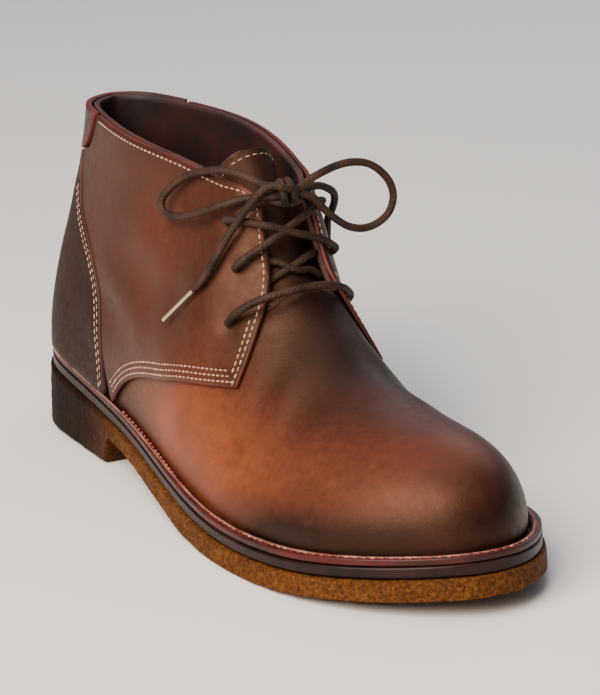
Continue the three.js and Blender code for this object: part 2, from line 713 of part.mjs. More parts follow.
function heelPatch() {
  return roundHeel((side) => evenly(MESH.patchRows, PATCH_EDGE[0].u, 1).map((u) => {
    const low = vUnderPatch(side, u);
    return evenly(MESH.patchColumns, low, 1).map((v) => ({ u, v }));
  }), CLEAR, PATCH);
}

// ---------------------------------------------------------------- laces

// Round lace of a diameter along a smooth curve through the points.
function laceAlong(points, diameter, steps) {
  const curve = new THREE.CatmullRomCurve3(points, false, 'centripetal');
  const section = new THREE.Shape().absarc(0, 0, diameter / 2, 0, 2 * Math.PI);
  const geometry = new THREE.ExtrudeGeometry(section, {
    extrudePath: curve, steps, curveSegments: 4, bevelEnabled: false,
  });
  const faces = [];
  const at = geometry.attributes.position;
  for (let i = 0; i < at.count; i += 3) {
    faces.push([0, 1, 2].map((k) => new THREE.Vector3().fromBufferAttribute(at, i + k)));
  }
  return closedBody(faces);
}

function solidOf(geometry) {
  return new wasm.Manifold(new wasm.Mesh({
    numProp: 3,
    vertProperties: geometry.attributes.position.array,
    triVerts: Uint32Array.from(geometry.index.array),
  }));
}

function geometryOf(solid) {
  const mesh = solid.getMesh();
  const geometry = new THREE.BufferGeometry();
  geometry.setAttribute('position', new THREE.BufferAttribute(mesh.vertProperties, 3));
  geometry.setIndex(new THREE.BufferAttribute(mesh.triVerts, 1));
  geometry.computeVertexNormals();
  return geometry;
}

const joined = (a, b) => geometryOf(solidOf(a).add(solidOf(b)));

const OVER_FACING = CLEAR + OVERLAY + GAP + LACE / 2 + LACE_LIFT;   // middle of a lace on a facing
const UPHILL = new THREE.Vector3(0.74, 0, 0.67);   // straight out of the throat

// Point over the facing at a row { u, outer, inner }, `back` nearer to the middle.
function overFacing(side, row, back = 0) {
  return lastAt(side, row.u, vAtHalf(side, row.u, row[sideName(side)] - back), OVER_FACING);
}

// One taut lace from a hole on `side` to a hole on the other side. It lies on each facing as far
// as its edge and spans the throat between them with a slight bow.
function span(side, from, to, edges, bow) {
  const start = overFacing(side, from, PAST_HOLE);
  const end = overFacing(-side, to, PAST_HOLE);
  const brink = overFacing(side, edges[0]);
  const farBrink = overFacing(-side, edges[1]);
  const middle = brink.clone().add(farBrink).multiplyScalar(0.5).addScaledVector(UPHILL, bow);
  return laceAlong([start, brink, middle, farBrink, end], LACE, MESH.tautLace);
}

function laceBar() {
  return span(OUTER, HOLES[0], HOLES[0], [BAR, BAR], BAR.bow);
}

function laceCross() {
  const arm = (side) => span(side, HOLES[1], HOLES[2], [CROSS.low, CROSS.high], CROSS.bow);
  return joined(arm(OUTER), arm(INNER));
}

// The cross below it runs inside the boot, so only its middle shows, on the tongue.
function laceCrossUnder() {
  const { u, reach, rise, bow, lift } = UNDER_CROSS;
  const middle = new THREE.Vector3(rib.x(u), rib.mid(u), rib.z(u)).addScaledVector(UPHILL, lift);
  const along = new THREE.Vector3(-UPHILL.z, 0, UPHILL.x);
  const arm = (side) => {
    const point = (t) => middle.clone().addScaledVector(along, rise * t)
      .addScaledVector(UPHILL, -bow * t * t)
      .add(new THREE.Vector3(0, side * reach * t, 0));
    return laceAlong([-1, -0.5, 0, 0.5, 1].map(point), LACE, MESH.underLace);
  };
  return joined(arm(OUTER), arm(INNER));
}

const routeOf = (rows) => rows.map(([x, y, z]) => new THREE.Vector3(x, y, z));
const freeLace = (rows) => laceAlong(routeOf(rows), LACE, Math.round(1.3 * rows.length));
const laceTip = (rows) => laceAlong(routeOf(rows), TIP, 1);

function laceKnot() {
  const round = new THREE.SphereGeometry(1, 12, 8);
  round.scale(KNOT.halfX, KNOT.halfY, KNOT.halfZ);
  round.translate(KNOT.x, KNOT.y, KNOT.z);
  const at = round.attributes.position;
  const corner = (i) => new THREE.Vector3().fromBufferAttribute(at, round.index.getX(i));
  const faces = [];
  for (let i = 0; i < round.index.count; i += 3) faces.push([corner(i), corner(i + 1), corner(i + 2)]);
  return closedBody(faces);
}

// ---------------------------------------------------------------- assembly

function paint(color, roughness, metalness = 0) {
  return new THREE.MeshStandardMaterial({ color, roughness, metalness });
}

const LEATHER = paint('#6e4534', 0.5);
const DARK_LEATHER = paint('#4a2c22', 0.55);
const CREPE = paint('#a86a24', 0.8);
const MIDSOLE_PAINT = paint('#4a3436', 0.5);
const WELT_PAINT = paint('#8a2f26', 0.5);
const SOCK = paint('#9c3018', 0.7);
const PATCH_LEATHER = paint('#4a201e', 0.5);
const LACE_PAINT = paint('#5a4436', 0.7);
const BRASS = paint('#d8c090', 0.3, 1);

const boot = new THREE.Group();
function piece(name, geometry, material) {
  const mesh = new THREE.Mesh(geometry, material);
  mesh.name = name;
  boot.add(mesh);
  return mesh;
}

const sole = piece('outsole', outsole(), CREPE);
piece('midsole', midsole(), MIDSOLE_PAINT);
piece('welt', welt(), WELT_PAINT);
piece('insole', insole(), SOCK);
piece('upper', upper(), LEATHER);
piece('tongue', tongue(), DARK_LEATHER);
piece('quarter_outer', quarter(OUTER), LEATHER);
piece('quarter_inner', quarter(INNER), LEATHER);
piece('heel_counter', heelCounter(), DARK_LEATHER);
piece('heel_patch', heelPatch(), PATCH_LEATHER);
piece('lace_bar', laceBar(), LACE_PAINT);
piece('lace_cross', laceCross(), LACE_PAINT);
piece('lace_cross_under', laceCrossUnder(), LACE_PAINT);
piece('lace_knot', laceKnot(), LACE_PAINT);
piece('lace_loop_outer', freeLace(LOOP_OUTER), LACE_PAINT);
piece('lace_loop_inner', freeLace(LOOP_INNER), LACE_PAINT);
piece('lace_end_outer', freeLace(END_OUTER), LACE_PAINT);
piece('lace_end_inner', freeLace(END_INNER), LACE_PAINT);
piece('lace_tip_outer', laceTip(TIP_OUTER), BRASS);
piece('lace_tip_inner', laceTip(TIP_INNER), BRASS);

const bounds = new THREE.Box3().setFromObject(sole);
boot.position.set(-(bounds.min.x + bounds.max.x) / 2, -(bounds.min.y + bounds.max.y) / 2, 0);

export default boot;
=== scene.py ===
# A chukka boot for the right foot: waxy brown leather, crepe rubber sole, round waxed lace.
# It is put together here in the order of the real boot, from the sole up to the bow.

import math

import bmesh
import bpy
from mathutils import Matrix, Quaternion, Vector, noise
from mathutils.bvhtree import BVHTree


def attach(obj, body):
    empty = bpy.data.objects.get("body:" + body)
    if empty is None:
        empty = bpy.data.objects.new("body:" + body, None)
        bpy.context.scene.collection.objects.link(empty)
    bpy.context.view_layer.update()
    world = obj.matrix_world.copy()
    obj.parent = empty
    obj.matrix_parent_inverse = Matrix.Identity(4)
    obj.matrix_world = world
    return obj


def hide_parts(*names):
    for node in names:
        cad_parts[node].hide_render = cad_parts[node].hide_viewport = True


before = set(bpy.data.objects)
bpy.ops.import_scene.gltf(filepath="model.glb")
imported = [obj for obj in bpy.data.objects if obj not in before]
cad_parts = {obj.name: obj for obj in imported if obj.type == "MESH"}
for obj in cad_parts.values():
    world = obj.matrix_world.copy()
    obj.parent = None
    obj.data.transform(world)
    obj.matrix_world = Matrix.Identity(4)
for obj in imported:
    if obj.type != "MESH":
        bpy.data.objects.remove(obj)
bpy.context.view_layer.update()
collection = bpy.context.scene.collection


# ---------------------------------------------------------------- view, light and floor
# A long lens from the outer front quarter, a little above the boot and rolled by a degree.
# A broad soft light stands in front on the left, weak ones hang overhead and behind, and the
# room fills in.
def rgb(colour):
    """An sRGB hex colour as linear red, green, blue and alpha."""
    parts = [int(colour[i : i + 2], 16) / 255 for i in (1, 3, 5)]
    return (*(p / 12.92 if p <= 0.04045 else ((p + 0.055) / 1.055) ** 2.4 for p in parts), 1.0)


def add_node(tree, kind, inputs=None, stops=None, **settings):
    """A node with its settings, its input values or links, and the colour stops of a ramp."""
    node = tree.nodes.new(kind)
    for key, value in settings.items():
        setattr(node, key, value)
    for key, value in (inputs or {}).items():
        if isinstance(value, bpy.types.NodeSocket):
            tree.links.new(value, node.inputs[key])
        else:
            node.inputs[key].default_value = value
    for i, (place, colour) in enumerate(stops or ()):
        ramp = node.color_ramp.elements
        stop = ramp[i] if i < len(ramp) else ramp.new(place)
        stop.position, stop.color = place, colour
    return node


camera_data = bpy.data.cameras.new("camera")
camera_data.sensor_fit, camera_data.sensor_width, camera_data.lens = "HORIZONTAL", 36, 195.8
camera = bpy.data.objects.new("camera", camera_data)
camera_place, camera_aim = Vector((1.0269, -0.5733, 0.4233)), Vector((0.049, -0.013, 0.074))
camera.rotation_mode = "QUATERNION"
camera.rotation_quaternion = (camera_aim - camera_place).to_track_quat("-Z", "Y") @ Quaternion(
    (0, 0, 1), math.radians(-1.306)
)
camera.location = camera_place
collection.objects.link(camera)
bpy.context.scene.camera = camera


def soft_light(name, place, aim, size, watts, colour):
    """A square softbox that faces a point on the boot."""
    data = bpy.data.lights.new(name, "AREA")
    data.shape, data.size, data.energy, data.color = "SQUARE", size, watts, rgb(colour)[:3]
    lamp = bpy.data.objects.new(name, data)
    lamp.location = place
    lamp.rotation_mode = "QUATERNION"
    lamp.rotation_quaternion = (Vector(aim) - Vector(place)).to_track_quat("-Z", "Y")
    collection.objects.link(lamp)


soft_light("key_light", (0.52, -1.04, 1.05), (0.03, 0, 0.05), 1.2, 56, "#fff3e6")
soft_light("top_light", (-0.1, 0.1, 1.5), (0, 0, 0.05), 0.9, 4.5, "#f4f6ff")
soft_light("back_light", (-0.7, 0.95, 0.9), (0, 0, 0.06), 0.9, 3.5, "#f4f6ff")

world = bpy.data.worlds.new("studio")
world.use_nodes = True
world.node_tree.nodes["Background"].inputs["Color"].default_value = rgb("#cfd6e2")
world.node_tree.nodes["Background"].inputs["Strength"].default_value = 0.27
bpy.context.scene.world = world


def mesh_of(bm, name):
    """A bmesh as a finished mesh of that name."""
    mesh = bpy.data.meshes.new(name)
    bm.to_mesh(mesh)
    bm.free()
    return mesh


bm = bmesh.new()
bmesh.ops.create_grid(bm, x_segments=1, y_segments=1, size=4)
floor_mesh = mesh_of(bm, "floor")
floor = bpy.data.objects.new("floor", floor_mesh)
collection.objects.link(floor)
# Smooth pale plaster, trowelled and matt.
plaster = bpy.data.materials.new("pale_plaster_floor")
plaster.use_nodes = True
plaster.node_tree.nodes["Principled BSDF"].inputs["Base Color"].default_value = rgb("#f3f0eb")
plaster.node_tree.nodes["Principled BSDF"].inputs["Roughness"].default_value = 0.85
floor_mesh.materials.append(plaster)


# ---------------------------------------------------------------- outsole
# Crepe rubber sheet with the heel block moulded in one piece with it. Its ground edge shows
# the lumps of the raw rubber, honey brown where light gets into it, and darkened towards the
# heel with painted shade.
MM = 0.001
MIDDLE_X, SHIFT_Y = 151.5, 1.7284  # the frame's middle in the boot's own millimetres


def boot_place(x, y, z):
    """A place on the boot in millimetres: x from the back of the heel, y inward, z up."""
    return Vector((x - MIDDLE_X, y + SHIFT_Y, z)) * MM


def in_boot(point):
    """The same millimetres of a place in the frame."""
    return Vector((point.x / MM + MIDDLE_X, point.y / MM - SHIFT_Y, point.z / MM))


def merged(node):
    """A copy of a CAD node's mesh, its loose triangles merged and paired into quads."""
    bm = bmesh.new()
    bm.from_mesh(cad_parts[node].data)
    bmesh.ops.remove_doubles(bm, verts=bm.verts, dist=2e-6)
    bmesh.ops.join_triangles(
        bm,
        faces=bm.faces,
        angle_face_threshold=math.radians(50),
        angle_shape_threshold=math.radians(70),
    )
    bm.normal_update()
    return bm


SHARP = math.radians(40)  # edges that turn further than this are cut edges


def rounded(bm, levels, hold):
    """The mesh rounded by a subdivision surface that keeps its cut edges firm."""
    crease = bm.edges.layers.float.new("crease_edge")
    for edge in bm.edges:
        if len(edge.link_faces) == 2 and edge.calc_face_angle() > SHARP:
            edge[crease] = hold
    cage = bpy.data.objects.new("cage", mesh_of(bm, "cage"))
    collection.objects.link(cage)
    modifier = cage.modifiers.new("round", "SUBSURF")
    modifier.levels = modifier.render_levels = levels
    bpy.context.view_layer.update()
    shaped = cage.evaluated_get(bpy.context.evaluated_depsgraph_get())
    mesh = bpy.data.meshes.new_from_object(shaped)
    bpy.data.objects.remove(cage)
    return mesh


def placed(name, mesh, materials, slot, *stands_for):
    """A finished piece on the boot's one body, smooth shaded."""
    for material in materials:
        mesh.materials.append(material)
    mesh.polygons.foreach_set("use_smooth", [True] * len(mesh.polygons))
    mesh.name = name
    piece = bpy.data.objects.new(name, mesh)
    collection.objects.link(piece)
    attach(piece, "root")
    if stands_for:
        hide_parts(*stands_for)
    return piece


def surface(name):
    """A new material's tree with its shader and the place on the piece in millimetres."""
    material = bpy.data.materials.new(name)
    material.use_nodes = True
    tree = material.node_tree
    place = add_node(tree, "ShaderNodeTexCoord").outputs["Object"]
    scaled = add_node(tree, "ShaderNodeVectorMath", {0: place, "Scale": 1 / MM}, operation="SCALE")
    return material, tree, tree.nodes["Principled BSDF"], scaled.outputs[0]


# Crepe rubber, milled and ground: matt, blotched over 7 mm and lumpy over 1.3 mm, and darkened
# with painted shade from the heel to the waist.
crepe, tree, shader, mm = surface("crepe_rubber")
blotch = add_node(tree, "ShaderNodeTexNoise", {"Vector": mm, "Scale": 1 / 7, "Detail": 4})
lumps = add_node(
    tree, "ShaderNodeTexNoise", {"Vector": mm, "Scale": 1 / 1.3, "Detail": 3, "Roughness": 0.6}
)
both = add_node(
    tree,
    "ShaderNodeMath",
    {0: blotch.outputs["Fac"], 1: 0.3, 2: lumps.outputs["Fac"]},
    operation="MULTIPLY_ADD",
)
tint = add_node(
    tree,
    "ShaderNodeValToRGB",
    {"Fac": both.outputs[0]},
    stops=((0.46, rgb("#391c07")), (0.86, rgb("#724517")), (0.66, rgb("#542f0c"))),
)
along = add_node(tree, "ShaderNodeSeparateXYZ", {0: mm})
# painted shade: the crepe's colour falls to a tenth at the heel block and is full past the waist
heel_shade = add_node(
    tree,
    "ShaderNodeMapRange",
    {"Value": along.outputs["X"], "From Min": -95, "From Max": -35, "To Min": 0.1, "To Max": 1.0},
    interpolation_type="SMOOTHSTEP",
)
heel_shaded = add_node(
    tree,
    "ShaderNodeVectorMath",
    {0: tint.outputs["Color"], "Scale": heel_shade.outputs["Result"]},
    operation="SCALE",
)
tree.links.new(heel_shaded.outputs[0], shader.inputs["Base Color"])
bump = add_node(
    tree, "ShaderNodeBump", {"Height": lumps.outputs["Fac"], "Strength": 1.0, "Distance": 0.0007}
)
tree.links.new(bump.outputs["Normal"], shader.inputs["Normal"])
shader.inputs["Roughness"].default_value = 0.7
shader.inputs["Specular IOR Level"].default_value = 0.12

# The ground walls are never quite flat: they swell by a quarter of a millimetre.
GROUND_Z = 0.6
crepe_mesh = rounded(merged("outsole"), 3, hold=0.85)
crepe_normals = [vertex.normal.copy() for vertex in crepe_mesh.vertices]
for vertex, normal in zip(crepe_mesh.vertices, crepe_normals):
    where = vertex.co / MM
    wave = 0.28 * noise.noise(where / 9) + 0.2 * noise.noise(where / 2.6)
    if where.z > GROUND_Z:
        vertex.co += normal * wave * MM
placed("crepe_outsole", crepe_mesh, [crepe], "crepe", "outsole")


# ---------------------------------------------------------------- midsole
# A thin sheet of dark plum rubber between crepe and welt, its edge ground flush, inked and
# burnished, so it shines softly.
def mottled(name, patch, dark, light, ends=(0.35, 0.68), detail=5):
    """A material of two shades that drift over patches of a size in millimetres."""
    material, tree, shader, mm = surface(name)
    shade = add_node(
        tree, "ShaderNodeTexNoise", {"Vector": mm, "Scale": 1 / patch, "Detail": detail}
    )
    tint = add_node(
        tree,
        "ShaderNodeValToRGB",
        {"Fac": shade.outputs["Fac"]},
        stops=((ends[0], rgb(dark)), (ends[1], rgb(light))),
    )
    tree.links.new(tint.outputs["Color"], shader.inputs["Base Color"])
    return material, tree, shader, mm


# Inked rubber: nearly black with a plum tinge, fine marks of the grinder 0.9 mm apart.
midsole_rubber, tree, shader, mm = mottled("inked_midsole_rubber", 14, "#120606", "#2a100e")
grind = add_node(tree, "ShaderNodeTexNoise", {"Vector": mm, "Scale": 1 / 0.9, "Detail": 2})
bump = add_node(
    tree, "ShaderNodeBump", {"Height": grind.outputs["Fac"], "Strength": 0.25, "Distance": 0.0002}
)
tree.links.new(bump.outputs["Normal"], shader.inputs["Normal"])
shader.inputs["Roughness"].default_value = 0.4
shader.inputs["Specular IOR Level"].default_value = 0.22
midsole_mesh = rounded(merged("midsole"), 3, hold=0.9)
placed("midsole_sheet", midsole_mesh, [midsole_rubber], "midsole", "midsole")


# ---------------------------------------------------------------- welt
# A strip of red-brown leather all round, with a row of thick stitches from the waist round
# the toe, and a fine bead where the upper turns into it, coloured pale as a painted highlight.
def ordered(edges):
    """The vertices of the longest chain of edges, in order along it."""
    near = {}
    for edge in edges:
        for vertex in edge.verts:
            near.setdefault(vertex, []).append(edge.other_vert(vertex))
    best = []
    left = dict.fromkeys(near)
    while left:
        ends = [v for v in left if len(near[v]) == 1]
        chain = [ends[0] if ends else next(iter(left))]
        left.pop(chain[0])
        while True:
            step = [v for v in near[chain[-1]] if v in left]
            if not step:
                break
            chain.append(step[0])
            left.pop(step[0])
        if len(chain) > len(best):
            best = chain
    return best


def evenly(points, pitch):
    """Points at one pitch along a line."""
    line, total = [points[0]], 0.0
    for a, b in zip(points, points[1:]):
        length = (b - a).length
        while total + length >= pitch:
            share = (pitch - total) / length
            a = a.lerp(b, share)
            line.append(a)
            length = (b - a).length
            total = 0.0
        total += length
    return line


def smoothed(points, times):
    """A line whose inner points are averaged with their neighbours."""
    points = list(points)
    for _ in range(times):
        inner = [(a + 2 * b + c) / 4 for a, b, c in zip(points, points[1:], points[2:])]
        points = [points[0], *inner, points[-1]]
    return points


def sewn(name, rows, thread):
    """Rows of stitches as one piece, each stitch a small lozenge of thread on the leather.
    A row is its line, the leather below it, and its pitch, length and width in millimetres."""
    whole = bmesh.new()
    for line, cloth, pitch, length, width in rows:
        row = bmesh.new()
        places = evenly(line, pitch * MM)
        for a, b in zip(places, places[1:]):
            foot, normal, _, _ = cloth.find_nearest((a + b) / 2)
            along = (b - a).normalized()
            across = normal.cross(along).normalized()
            stand = Matrix((along, across, along.cross(across))).transposed().to_4x4()
            stand.translation = foot
            size = Matrix.Diagonal((length / 2 * MM, width / 2 * MM, width / 2.2 * MM, 1))
            bmesh.ops.create_uvsphere(
                row, u_segments=8, v_segments=5, radius=1, matrix=stand @ size
            )
        row_mesh = mesh_of(row, "row")
        whole.from_mesh(row_mesh)
        bpy.data.meshes.remove(row_mesh)
    placed(name, mesh_of(whole, name), [thread], None)


def tree_of(mesh):
    """The outer face of a piece, to find places on it."""
    faces = [p.vertices for p in mesh.polygons if p.material_index == 0]
    return BVHTree.FromPolygons([v.co for v in mesh.vertices], faces)


def tube(line, thick, sides=3):
    """A round mesh along a line; its map runs in millimetres along and once round."""
    curve = bpy.data.curves.new("route", "CURVE")
    curve.dimensions, curve.bevel_depth, curve.bevel_resolution = "3D", thick / 2, sides
    curve.use_fill_caps = True
    curve.twist_mode = "MINIMUM"
    spline = curve.splines.new("POLY")
    spline.points.add(len(line) - 1)
    for point, place in zip(spline.points, line):
        point.co = (*place, 1)
    holder = bpy.data.objects.new("route", curve)
    collection.objects.link(holder)
    bpy.context.view_layer.update()
    shaped = holder.evaluated_get(bpy.context.evaluated_depsgraph_get())
    mesh = bpy.data.meshes.new_from_object(shaped)
    bpy.data.objects.remove(holder)
    length = sum((b - a).length for a, b in zip(line, line[1:])) / MM
    for corner in mesh.uv_layers[0].data:
        corner.uv.x *= length
    return mesh


def joined(meshes):
    """Several meshes as one."""
    bm = bmesh.new()
    for mesh in meshes:
        bm.from_mesh(mesh)
    return mesh_of(bm, "whole")


# Vegetable tanned welt leather, dyed red-brown and waxed, patchy over 9 mm.
welt_leather, tree, shader, mm = mottled(
    "red_brown_welt_leather", 9, "#240a07", "#571d14", ends=(0.32, 0.7)
)
shader.inputs["Roughness"].default_value = 0.4

# Its trimmed edge is inked dark red and polished.
inked_edge, tree, shader, mm = mottled("inked_welt_edge", 11, "#260806", "#4c130d", detail=4)
shader.inputs["Roughness"].default_value = 0.42
shader.inputs["Specular IOR Level"].default_value = 0.3

bm = merged("welt")
top_edges = [
    edge
    for edge in bm.edges
    if len(edge.link_faces) == 2
    and max(f.normal.z for f in edge.link_faces) > 0.75
    and min(f.normal.z for f in edge.link_faces) < 0.5
]


def spine(point):
    """The place level with a point on the straight middle line of the boot."""
    return Vector((max(-0.1, min(0.1, point.x)), 0, point.z))


def stands_outside(edge):
    """True for an edge of the welt's outer rim, whose side face looks away from the boot."""
    side = min(edge.link_faces, key=lambda f: f.normal.z)
    middle = side.calc_center_median()
    return side.normal.dot(middle - spine(middle)) > 0


def beside(ring, outward, up=0.0):
    """A closed ring moved outward, or inward if negative, and up, in millimetres."""
    moved = []
    for before, here, after in zip([ring[-1], *ring], ring, [*ring[1:], ring[0]]):
        along = (after - before).normalized()
        side = Vector((along.y, -along.x, 0)).normalized()
        if side.dot(here - spine(here)) < 0:
            side = -side
        moved.append(here + side * outward * MM + Vector((0, 0, up * MM)))
    return moved


welt_rim = [v.co.copy() for v in ordered([e for e in top_edges if stands_outside(e)])]
welt_root = [v.co.copy() for v in ordered([e for e in top_edges if not stands_outside(e)])]
for face in bm.faces:
    face.material_index = 0 if face.normal.z > 0.6 else 1
welt_mesh = rounded(bm, 2, hold=0.8)
placed("welt_strip", welt_mesh, [welt_leather, inked_edge], "welt", "welt")
welt_cloth = tree_of(welt_mesh)

# Waxed cotton for the seams of the upper: warm cream, soiled here and there.
cotton, tree, shader, mm = mottled(
    "waxed_cotton_thread", 1.5, "#8a604c", "#cda68e", ends=(0.3, 0.7), detail=2
)
shader.inputs["Roughness"].default_value = 0.6

# The welt's thread is thicker, waxed rose, and darkened with the welt's dye.
rose_cotton, tree, shader, mm = mottled("rose_welt_thread", 6, "#6e2720", "#bd6f60", detail=2)
shader.inputs["Roughness"].default_value = 0.55

# The stitches run 2.1 mm inside the rim, from the waist forward.
WAIST_X = 96
start = min(range(len(welt_rim)), key=lambda i: welt_rim[i].x)
welt_line = beside(welt_rim[start:] + welt_rim[:start], -2.1)
welt_line = smoothed(evenly([*welt_line, welt_line[0]], 2 * MM), 2)
stitched = [p for p in welt_line if in_boot(p).x > WAIST_X]

# The bead is a rolled edge of leather caught between the upper and the welt, polished; its
# pale colour is a painted highlight along the joint.
bead_leather, tree, shader, mm = mottled(
    "bead_leather_painted_highlight", 12, "#5a2c22", "#a87464", ends=(0.35, 0.7), detail=4
)
shader.inputs["Roughness"].default_value = 0.35
bead_line = beside(welt_root, 1.25, 0.15)
bead_line = evenly([*bead_line, bead_line[0]], 1.5 * MM)
placed("welt_bead", tube([*bead_line, bead_line[0]], 0.9 * MM, sides=2), [bead_leather], None)

sewn("welt_stitches", [(stitched, welt_cloth, 3.4, 2.3, 1.1)], rose_cotton)


# ---------------------------------------------------------------- insole
# The sock: orange-red leather glued over the insole board, where the foot stands. It is
# seen only down the collar.
def lining_leather(name, dark, light, roughness):
    """Soft lining leather: a fine nap 1 mm across and slow shade changes over 20 mm."""
    material, tree, shader, mm = mottled(name, 20, dark, light, ends=(0.32, 0.68))
    nap = add_node(tree, "ShaderNodeTexNoise", {"Vector": mm, "Scale": 1 / 1.0, "Detail": 3})
    bump = add_node(
        tree, "ShaderNodeBump", {"Height": nap.outputs["Fac"], "Strength": 0.3, "Distance": 0.0002}
    )
    tree.links.new(bump.outputs["Normal"], shader.inputs["Normal"])
    shader.inputs["Roughness"].default_value = roughness
    return material


# Thin dyed sheepskin, worn smooth.
sock_leather = lining_leather("orange_red_sock_leather", "#5a1a0e", "#8a3320", 0.6)
placed("sock", rounded(merged("insole"), 2, hold=0.6), [sock_leather], "sock", "insole")


# ---------------------------------------------------------------- upper
# Vamp, shaft and lining as one leather skin over the last. The hide is waxed and hand
# burnished. Its colour is darkened, by burnish and by painted shade, at the throat, the toe,
# the inner side, the back, the collar and the sole edge, and warmed to orange, by pull-up and
# by painted light, on the outer side, which faces the key light.
def waxed_leather(name, mid, dark, warm_and_lit, roughness=0.47):
    """Waxed pull-up leather. Wax gives it a broad soft shine; its two painted masks darken it with
    burnish and painted shade, and warm and pale it with pull-up and painted light.
    """
    material, tree, shader, mm = surface(name)
    cloud = add_node(
        tree, "ShaderNodeTexNoise", {"Vector": mm, "Scale": 1 / 26, "Detail": 5, "Roughness": 0.6}
    )
    fleck = add_node(
        tree, "ShaderNodeTexNoise", {"Vector": mm, "Scale": 1 / 3.5, "Detail": 4, "Roughness": 0.65}
    )
    grain = add_node(tree, "ShaderNodeTexVoronoi", {"Vector": mm, "Scale": 1 / 1.1})
    # painted shade and painted light: the two masks below hold burnish with painted shade, and
    # pull-up with painted light
    burnish_and_painted_shade = add_node(tree, "ShaderNodeAttribute", attribute_name="burnish_and_painted_shade")
    pull_and_light = add_node(tree, "ShaderNodeAttribute", attribute_name="pull_up_and_painted_light")

    def spread(mask, amount):
        """A painted mask whose border is broken up by the clouds of the hide."""
        centred = add_node(
            tree, "ShaderNodeMath", {0: cloud.outputs["Fac"], 1: 0.5}, operation="SUBTRACT"
        )
        broken = add_node(
            tree,
            "ShaderNodeMath",
            {0: centred.outputs[0], 1: amount, 2: mask.outputs["Fac"]},
            operation="MULTIPLY_ADD",
            use_clamp=True,
        )
        return broken.outputs[0]

    warmed_and_lit = add_node(
        tree,
        "ShaderNodeMix",
        {0: spread(pull_and_light, 1.3), 6: rgb(mid), 7: rgb(warm_and_lit)},
        data_type="RGBA",
    )
    darkened_and_shaded = add_node(
        tree,
        "ShaderNodeMix",
        {0: spread(burnish_and_painted_shade, 1.0), 6: warmed_and_lit.outputs[2], 7: rgb(dark)},
        data_type="RGBA",
    )
    speckle = add_node(
        tree,
        "ShaderNodeMapRange",
        {
            "Value": fleck.outputs["Fac"],
            "From Min": 0.3,
            "From Max": 0.7,
            "To Min": 0.86,
            "To Max": 1.12,
        },
    )
    tone = add_node(
        tree,
        "ShaderNodeVectorMath",
        {0: darkened_and_shaded.outputs[2], "Scale": speckle.outputs["Result"]},
        operation="SCALE",
    )
    tree.links.new(tone.outputs[0], shader.inputs["Base Color"])
    wax = add_node(
        tree,
        "ShaderNodeMapRange",
        {
            "Value": fleck.outputs["Fac"],
            "From Min": 0.3,
            "From Max": 0.7,
            "To Min": roughness - 0.06,
            "To Max": roughness + 0.08,
        },
    )
    tree.links.new(wax.outputs["Result"], shader.inputs["Roughness"])
    height = add_node(
        tree,
        "ShaderNodeMath",
        {0: fleck.outputs["Fac"], 1: 1.2, 2: grain.outputs["Distance"]},
        operation="MULTIPLY_ADD",
    )
    bump = add_node(
        tree, "ShaderNodeBump", {"Height": height.outputs[0], "Strength": 0.12, "Distance": 0.00022}
    )
    tree.links.new(bump.outputs["Normal"], shader.inputs["Normal"])
    shader.inputs["Specular IOR Level"].default_value = 0.5
    shader.inputs["Specular Tint"].default_value = rgb("#f2b696")
    return material


# Creases of a boot that has been tried on: from, to, push (the way the hide is pressed in),
# depth and half width, all in the boot's millimetres.
CREASES = [
    ((214, -38, 40), (205, 8, 68), (-0.3, 0.3, -1), 0.9, 8),
    ((200, -40, 44), (193, -22, 66), (-0.2, 0.8, -0.6), 0.7, 6),
    ((212, 40, 42), (205, 14, 67), (-0.3, -0.3, -1), 0.8, 8),
    ((86, -38, 86), (128, -34, 74), (0, 1, 0), 1.3, 10),
    ((60, -36, 70), (96, -37, 58), (0, 1, 0), 0.9, 8),
    ((84, 36, 84), (124, 32, 74), (0, -1, 0), 1.2, 10),
    ((150, -30, 62), (132, -36, 90), (0, 1, 0), 0.9, 9),
    ((34, 3, 96), (24, -14, 84), (1, 0.2, 0), 0.8, 8),
]


def creased(mesh):
    """Presses the creases into a skin, each a soft trough between two low ridges."""
    lines = [
        (boot_place(*a), boot_place(*b), Vector(push).normalized(), depth * MM, width * MM)
        for a, b, push, depth, width in CREASES
    ]
    for vertex in mesh.vertices:
        move = Vector()
        for a, b, push, depth, width in lines:
            share = max(0, min(1, (vertex.co - a).dot(b - a) / (b - a).length_squared))
            away = (vertex.co - a.lerp(b, share)).length / width
            if away < 3:
                fade = math.sin(math.pi * (0.12 + 0.76 * share))
                trough = math.exp(-away * away)
                ridge = 0.35 * math.exp(-((away - 1.7) ** 2) * 2)
                move += push * depth * fade * (trough - ridge)
        vertex.co += move


# Where the hide is darkened, by burnish and by painted shade on the inner toe and vamp, the
# throat, the back and the outer quarter by the counter, and where it is warmed, by pull-up and
# by painted light on the lit outer side: middle, radius in millimetres and strength.
BURNISH_AND_SHADE_SPOTS = [
    ((300, 24, 24), 34, 0.75),
    ((280, 42, 30), 30, 0.5),
    ((300, -10, 22), 24, 0.35),
    ((192, 0, 78), 48, 1.0),
    ((286, -28, 20), 22, 0.6),
    ((262, -46, 18), 18, 0.5),
    ((236, -50, 17), 16, 0.4),
    ((10, 2, 40), 34, 0.55),
    ((24, 0, 120), 30, 0.5),
    ((80, -38, 60), 20, 0.45),
    ((210, 40, 34), 40, 0.4),
]
PULL_UP_AND_LIGHT_SPOTS = [
    ((150, -46, 30), 28, 0.95),
    ((178, -48, 26), 26, 0.8),
    ((196, -42, 42), 22, 0.5),
    ((168, -34, 62), 16, 0.5),
    ((262, -16, 50), 30, 0.2),
    ((274, 16, 50), 12, 0.4),
    ((226, -44, 36), 26, 0.4),
    ((118, -38, 96), 30, 0.35),
    ((150, 46, 34), 26, 0.5),
]


